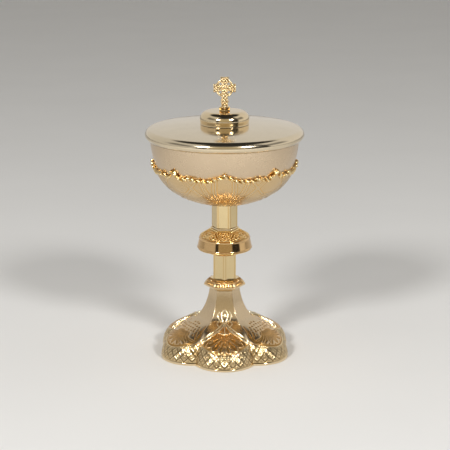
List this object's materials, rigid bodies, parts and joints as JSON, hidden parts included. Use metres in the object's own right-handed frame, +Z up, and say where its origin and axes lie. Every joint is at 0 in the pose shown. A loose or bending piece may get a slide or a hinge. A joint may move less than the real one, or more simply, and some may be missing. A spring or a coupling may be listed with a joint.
{
  "type": "ciborium",
  "caption": "Footed ciborium: a lidded cup with a cross finial on a six-sided stem with a round knop and a lobed foot.",
  "frame": {"origin": "centre of the face the foot stands on", "axes": "+Z up along the stem, -Y towards the front of the cross and of one foot lobe, +X to the right seen from the front"},
  "size_m": [0.1286, 0.1286, 0.23],
  "materials": {
    "polished_gold": "mirror-polished gold plate",
    "lattice_gold": "pierced and engraved gold plate",
    "engraved_gold": "engraved and polished gold plate",
    "chased_gold": "chased deep gold plate",
    "calyx_gold": "finely hatched satin gold plate",
    "satin_gold": "satin gold plate",
    "fastener_brass": "plain turned brass"
  },
  "bodies": {
    "vessel": {"foot_flange": "polished_gold", "foot_gallery": "lattice_gold", "foot_shell": "engraved_gold", "arch_tracery_1": "polished_gold", "arch_tracery_2": "polished_gold", "arch_tracery_3": "polished_gold", "lower_collar": "chased_gold", "lower_stem": "polished_gold", "knop_base": "chased_gold", "knop_band": "polished_gold", "knop_crown": "chased_gold", "upper_stem_lip": "polished_gold", "upper_stem": "polished_gold", "calyx": "calyx_gold", "calyx_border": "chased_gold", "cup_bowl": "satin_gold", "cup_boss": "fastener_brass", "tie_rod": "fastener_brass", "tie_washer": "fastener_brass", "tie_nut": "fastener_brass"},
    "lid": {"cross_finial": "chased_gold", "finial_collar": "chased_gold", "lid_boss": "polished_gold", "lid_shell": "satin_gold", "lid_locating_ring": "satin_gold", "finial_washer": "fastener_brass", "finial_nut": "fastener_brass"}
  },
  "joints": [
    {"name": "lid_lift", "type": "slide", "parent": "vessel", "child": "lid", "axis": [0, 0, 1], "range_m": [0, 0.08]}
  ]
}
